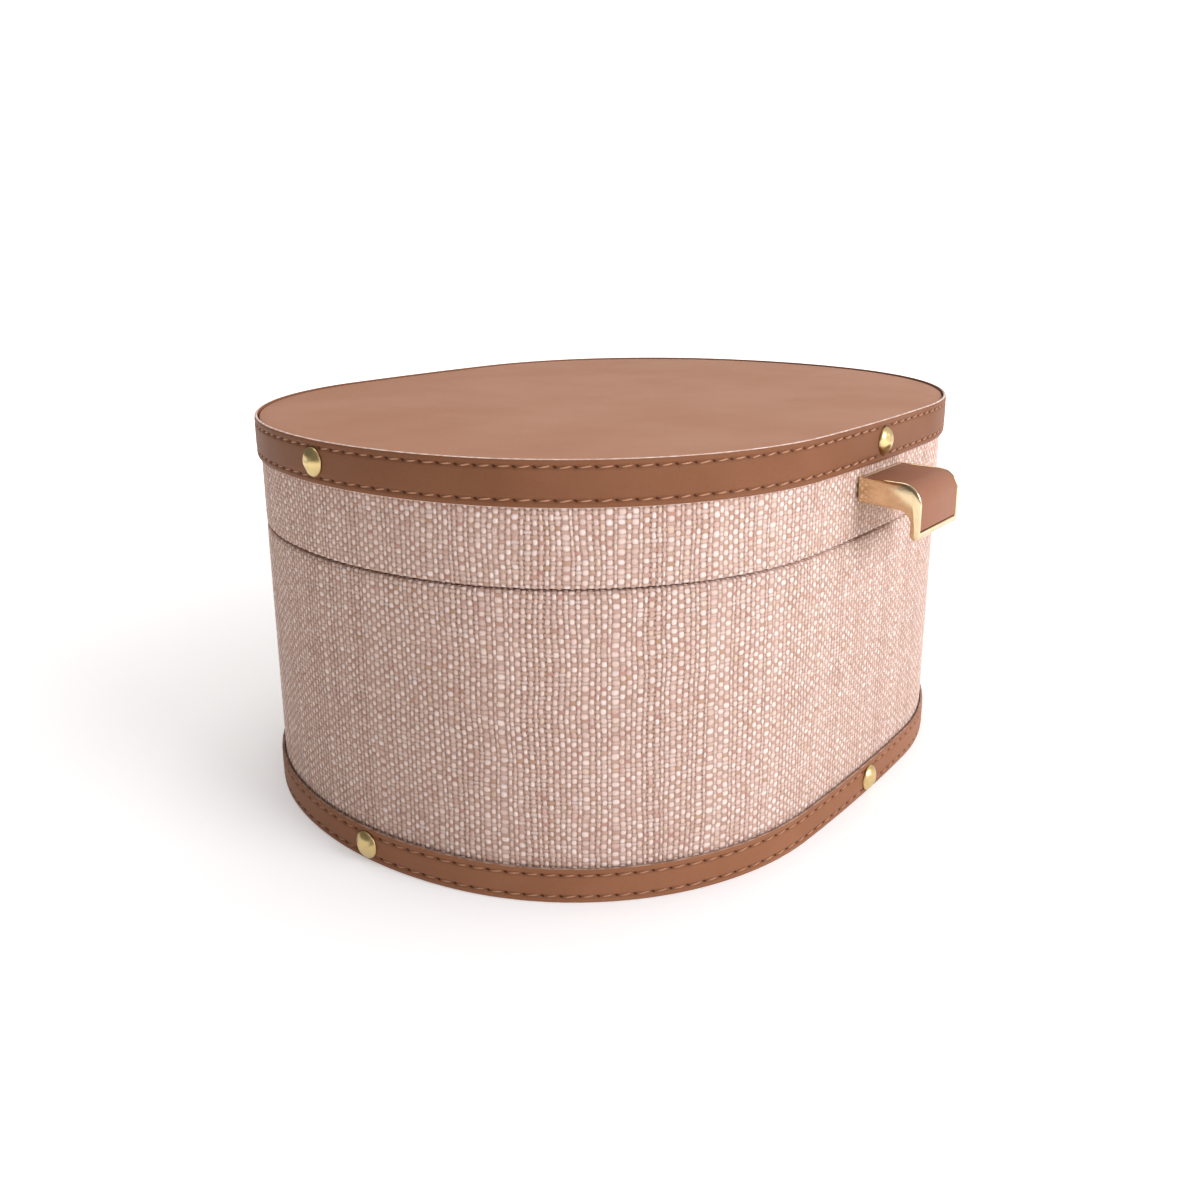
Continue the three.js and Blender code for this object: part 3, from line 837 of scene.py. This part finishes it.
def dome(radius, rise, lip, rings):
    """The (radius, height) points of a domed head, from its rim to its crown."""
    ball = (radius**2 + rise**2) / (2 * rise)
    sweep = math.asin(radius / ball)
    points = [(radius - 0.15 * MM, 0.0), (radius, 0.12 * MM), (radius, lip)]
    for ring in range(1, rings + 1):
        angle = sweep * (1 - ring / rings) * 0.985
        points.append((ball * math.sin(angle), lip + rise - ball * (1 - math.cos(angle))))
    return points


def stand_out(bm, spot, out):
    """Turns a piece made along +Z to point outwards at a spot."""
    turn = out.to_track_quat("Z", "X").to_matrix().to_4x4()
    bmesh.ops.transform(bm, matrix=Matrix.Translation(spot) @ turn, verts=bm.verts)


STUD_LIP = 0.35 * MM
STUD_STAND = 0.1 * MM            # between the band and the stud's rim
STUD_SHANK = ((0.0, -4.4 * MM), (1.0 * MM, -4.4 * MM), (1.0 * MM, 0.0))


def stud(band, side, seed):
    """A round brass stud with a lightly hammered dome and a shank through the band."""
    node = f"{band}_stud_{side}"
    low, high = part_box(node)
    middle = (low + high) / 2
    arc, out = arc_at(middle)
    radius = (high.z - low.z) / 2
    crown = max((vert.co - arc.centre).dot(out) for vert in frame["nodes"][node].data.vertices)
    rise = crown - arc.radius - STUD_STAND - STUD_LIP
    bm = turned([*STUD_SHANK, *dome(radius, rise, STUD_LIP, 9)], 40)
    for vert in bm.verts:
        if vert.co.z > STUD_LIP * 0.8:
            dent = noise.noise(Vector((vert.co.x, vert.co.y, seed * MM)) * 380)
            vert.co.z += min(dent, 0.05) * 0.5 * MM
    spot = arc.centre + out * (arc.radius + STUD_STAND)
    stand_out(bm, Vector((spot.x, spot.y, middle.z)), out)
    body = "lid" if band == "lid" else "body"
    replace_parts(finish_piece(f"{band}_brass_stud_{side}", bm, body, [STUD_BRASS]), node)


for band_name in ("lid", "base"):
    for stud_number, stud_side in enumerate(STUD_SIDES):
        stud(band_name, stud_side, stud_number * 7 + len(band_name))


def rivet(body, side):
    """A domed rivet that holds a hinge leaf from behind."""
    node = f"{body}_rivet_{side}"
    low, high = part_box(node)
    head_low = high.y - 0.8 * MM
    shank = [(0.0, low.y - head_low), (1.5 * MM, low.y - head_low), (1.5 * MM, 0.0)]
    bm = turned(shank + dome((high.x - low.x) / 2, 0.6 * MM, 0.2 * MM, 6), 28)
    centre = (low + high) / 2
    stand_out(bm, Vector((centre.x, head_low, centre.z)), Vector((0, 1, 0)))
    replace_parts(finish_piece(f"{body}_brass_rivet_{side}", bm, body, [BRASS]), node)


def softened(name, node, body, material, width):
    """A CAD part's own shape with its sharp edges broken."""
    bm = bmesh.new()
    bm.from_mesh(frame["nodes"][node].data)
    bmesh.ops.remove_doubles(bm, verts=bm.verts, dist=WELD)
    bmesh.ops.dissolve_limit(bm, angle_limit=math.radians(1), verts=bm.verts, edges=bm.edges)
    eased(bm, width, 2, 35)
    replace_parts(finish_piece(name, bm, body, [material]), node)


for side_name in ("left", "right"):
    rivet("body", side_name)
    rivet("lid", side_name)
    softened(f"pull_machine_screw_{side_name}", f"pull_screw_{side_name}", "lid", STEEL, 0.15 * MM)
softened("hinge_lower_leaf", "hinge_body_leaf", "body", BRASS, 0.12 * MM)
softened("hinge_upper_leaf", "hinge_lid_leaf", "lid", BRASS, 0.12 * MM)
softened("hinge_rod", "hinge_pin", "body", BRASS, 0.15 * MM)
softened("pull_backing_plate", "pull_plate", "lid", STEEL, 0.15 * MM)

PULL_LOW, PULL_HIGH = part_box("pull_frame")
PULL_BEND = 7.6 * MM
HOOK_CHEEK, HOOK_DROOP, HOOK_INSIDE, HOOK_THICK = 9 * MM, 0.8 * MM, 5 * MM, 3.4 * MM
RIM = 1.1 * MM
RECESS = 0.85 * MM
INLAY_GAP = 0.5 * MM
CHEEK_EDGE, CHEEK_SWELL = 1.4 * MM, 0.38 * MM       # the slope round each side of the hook


def pull_spot(out, z, x):
    """A spot on the pull, from its distance out of the lid, its height and its place across."""
    return Vector((x, PULL_HIGH.y - out, z))


def bend_points(inset, start, end):
    """Points round the pull's outer bend, as (distance out, height)."""
    reach = PULL_HIGH.y - PULL_LOW.y
    return arc_points((reach - PULL_BEND, PULL_HIGH.z - PULL_BEND), PULL_BEND - inset, start, end, 14)


def extruded_across(points, half_width):
    """A side view of (distance out, height) points, stretched across the front."""
    bm = bmesh.new()
    ring = [bm.verts.new(pull_spot(out, z, -half_width)) for out, z in points]
    face = bm.faces.new(ring)
    made = bmesh.ops.extrude_face_region(bm, geom=[face])["geom"]
    moved = [item for item in made if isinstance(item, bmesh.types.BMVert)]
    bmesh.ops.translate(bm, verts=moved, vec=(2 * half_width, 0, 0))
    bmesh.ops.recalc_face_normals(bm, faces=bm.faces)
    return bm


def pull_frame():
    """The hooked brass frame: a raised rim round the recess for the leather inlay."""
    reach = PULL_HIGH.y - PULL_LOW.y
    inner = reach - HOOK_THICK
    low = PULL_HIGH.z - HOOK_CHEEK - HOOK_DROOP
    lip = HOOK_THICK / 2
    points = [(0.0, low + HOOK_DROOP)]
    points += arc_points((inner - HOOK_INSIDE, low - HOOK_INSIDE), HOOK_INSIDE, 90, 0, 10)
    points += arc_points((inner + lip, PULL_LOW.z + lip), lip, 180, 360, 10)
    points += bend_points(0.0, 0, 90) + [(0.0, PULL_HIGH.z)]
    bm = extruded_across(points, (PULL_HIGH.x - PULL_LOW.x) / 2 - CHEEK_SWELL)
    cheeks = [face for face in bm.faces if abs(face.normal.x) > 0.9]
    bmesh.ops.inset_region(bm, faces=cheeks, thickness=CHEEK_EDGE, depth=CHEEK_SWELL,
                           use_even_offset=True)
    middle = Vector((0, PULL_HIGH.y - reach + PULL_BEND, PULL_HIGH.z - PULL_BEND))
    skin = [face for face in bm.faces
            if abs(face.normal.x) < 0.1 and (face.normal.z > 0.01 or face.normal.y < -0.9)
            and face.calc_center_median().z > PULL_LOW.z + HOOK_THICK
            and (face.calc_center_median() - middle).dot(face.normal) > PULL_BEND * 0.9]
    bmesh.ops.inset_region(bm, faces=skin, thickness=RIM, depth=0.0, use_even_offset=True)
    bmesh.ops.inset_region(bm, faces=skin, thickness=0.08 * MM, depth=-RECESS, use_even_offset=True)
    eased(bm, 0.42 * MM, 4, 30)
    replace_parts(finish_piece("pull_hook", bm, "lid", [BRASS]), "pull_frame")


def pull_inlay():
    """The leather inlay over the pull's top and front, a little below the rim."""
    reach = PULL_HIGH.y - PULL_LOW.y
    back, low = RIM + INLAY_GAP, PULL_LOW.z + HOOK_THICK / 2 + RIM + INLAY_GAP
    outer = [(reach - 0.15 * MM, low)] + bend_points(0.15 * MM, 0, 90) + [(back, PULL_HIGH.z - 0.15 * MM)]
    inner = [(back, PULL_HIGH.z - 0.7 * MM)] + bend_points(0.7 * MM, 90, 0) + [(reach - 0.7 * MM, low)]
    bm = extruded_across(outer + inner, (PULL_HIGH.x - PULL_LOW.x) / 2 - RIM - INLAY_GAP)
    eased(bm, 0.18 * MM, 3, 40)
    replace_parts(finish_piece("pull_leather", bm, "lid", [PULL_LEATHER]), "pull_inlay")


pull_frame()
pull_inlay()


# ---- stage, camera and lights --------------------------------------------------------------------
ROOM_DIM, ROOM_BRIGHT = 0.165, 0.84      # the soft room's strength at its dim and bright ends
ROOM_HEADING = Vector((0.8, -0.6, 0.05))         # towards the bright end
ROOM_COLOUR = (1.0, 0.96, 0.92)
BACKDROP_STRENGTH = 1.1
FLOOR_NEAR, FLOOR_FAR = 0.12, 0.8        # metres from the middle, where the floor's glow changes


def studio():
    """A pale floor that fades into a white backdrop."""
    scene = bpy.context.scene
    scene.view_settings.view_transform = "Standard"
    floor_mesh = bmesh.new()
    bmesh.ops.create_grid(floor_mesh, x_segments=1, y_segments=1, size=6.0)
    mesh = bpy.data.meshes.new("studio_floor")
    floor_mesh.to_mesh(mesh)
    floor_mesh.free()
    floor = bpy.data.objects.new("studio_floor", mesh)
    scene.collection.objects.link(floor)
    kit = Shader("studio_floor", Base_Color=(0.8, 0.8, 0.8, 1), Roughness=0.9, Emission_Strength=1.0)
    kit.surface.inputs["Specular IOR Level"].default_value = 0.0
    away = kit.node("ShaderNodeVectorMath", {"operation": "LENGTH"}, (kit.place(),), out=1)
    # Painted light: the floor glows, weakest near the box so that the floor around it is darker, and
    # brightest far out.
    glow = kit.between(away, FLOOR_NEAR, FLOOR_FAR)
    kit.set(Emission_Color=kit.mix(glow, (0.33, 0.33, 0.335), (0.95, 0.95, 0.95)))
    mesh.materials.append(kit.material)
    studio_light(scene)


def studio_light(scene):
    """A white backdrop, and for the object's lighting a soft room that is dim at the left."""
    world = bpy.data.worlds.new("studio")
    world.use_nodes = True
    kit = NodeKit(world.node_tree)
    kit.tree.nodes.remove(kit.tree.nodes["Background"])
    heading = kit.node("ShaderNodeVectorMath", {"operation": "DOT_PRODUCT"},
                       (kit.node("ShaderNodeTexCoord"), ROOM_HEADING.normalized()), out=1)
    strength = kit.node("ShaderNodeMapRange", {"interpolation_type": "SMOOTHSTEP"},
                        (heading, -0.9, 0.9, ROOM_DIM, ROOM_BRIGHT))
    room = kit.node("ShaderNodeBackground", None, (ROOM_COLOUR, strength))
    backdrop = kit.node("ShaderNodeBackground", None, ((1.0, 1.0, 1.0), BACKDROP_STRENGTH))
    seen = kit.node("ShaderNodeLightPath")
    both = kit.node("ShaderNodeMixShader", None, (seen, room, backdrop))
    kit.tree.links.new(both.socket, kit.tree.nodes["World Output"].inputs["Surface"])
    scene.world = world


def softbox(name, spot, aim, size, power, colour=(1.0, 1.0, 1.0)):
    """A round soft lamp that faces a spot."""
    light = bpy.data.lights.new(name, "AREA")
    light.shape, light.size, light.energy, light.color = "DISK", size, power, colour
    lamp = bpy.data.objects.new(name, light)
    lamp.location = spot
    lamp.rotation_mode = "QUATERNION"
    lamp.rotation_quaternion = (Vector(aim) - Vector(spot)).to_track_quat("-Z", "Y")
    bpy.context.scene.collection.objects.link(lamp)


def camera():
    """The front view, from the left and a little above."""
    data = bpy.data.cameras.new("camera")
    data.lens = 31.93
    data.shift_x, data.shift_y = 0.0111, -0.0655
    view = bpy.data.objects.new("camera", data)
    view.location = Vector((-361.9, -280.8, 211.4)) * MM
    view.rotation_mode = "QUATERNION"
    look = Vector((0.7477, 0.6149, -0.2509)).to_track_quat("-Z", "Y")
    view.rotation_quaternion = look @ Matrix.Rotation(-0.0066, 3, "Z").to_quaternion()
    bpy.context.scene.collection.objects.link(view)
    bpy.context.scene.camera = view


studio()
camera()
softbox("key", (0.10, -1.5, 0.72), (0, 0, 0.08), 0.9, 18.6, (0.98, 0.99, 1.05))
softbox("top", (0.1, 0.2, 1.5), (0, 0, 0.1), 1.0, 5.8)

# ---- carried-over parts --------------------------------------------------------------------------
FINISHES = {"linen": LINEN, "lining": LINING, "tan_leather": TAN_LEATHER, "band_leather": UNDER_LEATHER,
            "board": BOARD, "brass": BRASS, "steel": STEEL}
SLOT_OF = {part["node"]: part["material_slot"] for part in frame["record"]["subparts"]}
for node_name, node_object in frame["nodes"].items():
    node_object.data.materials.clear()
    node_object.data.materials.append(FINISHES[SLOT_OF[node_name]])
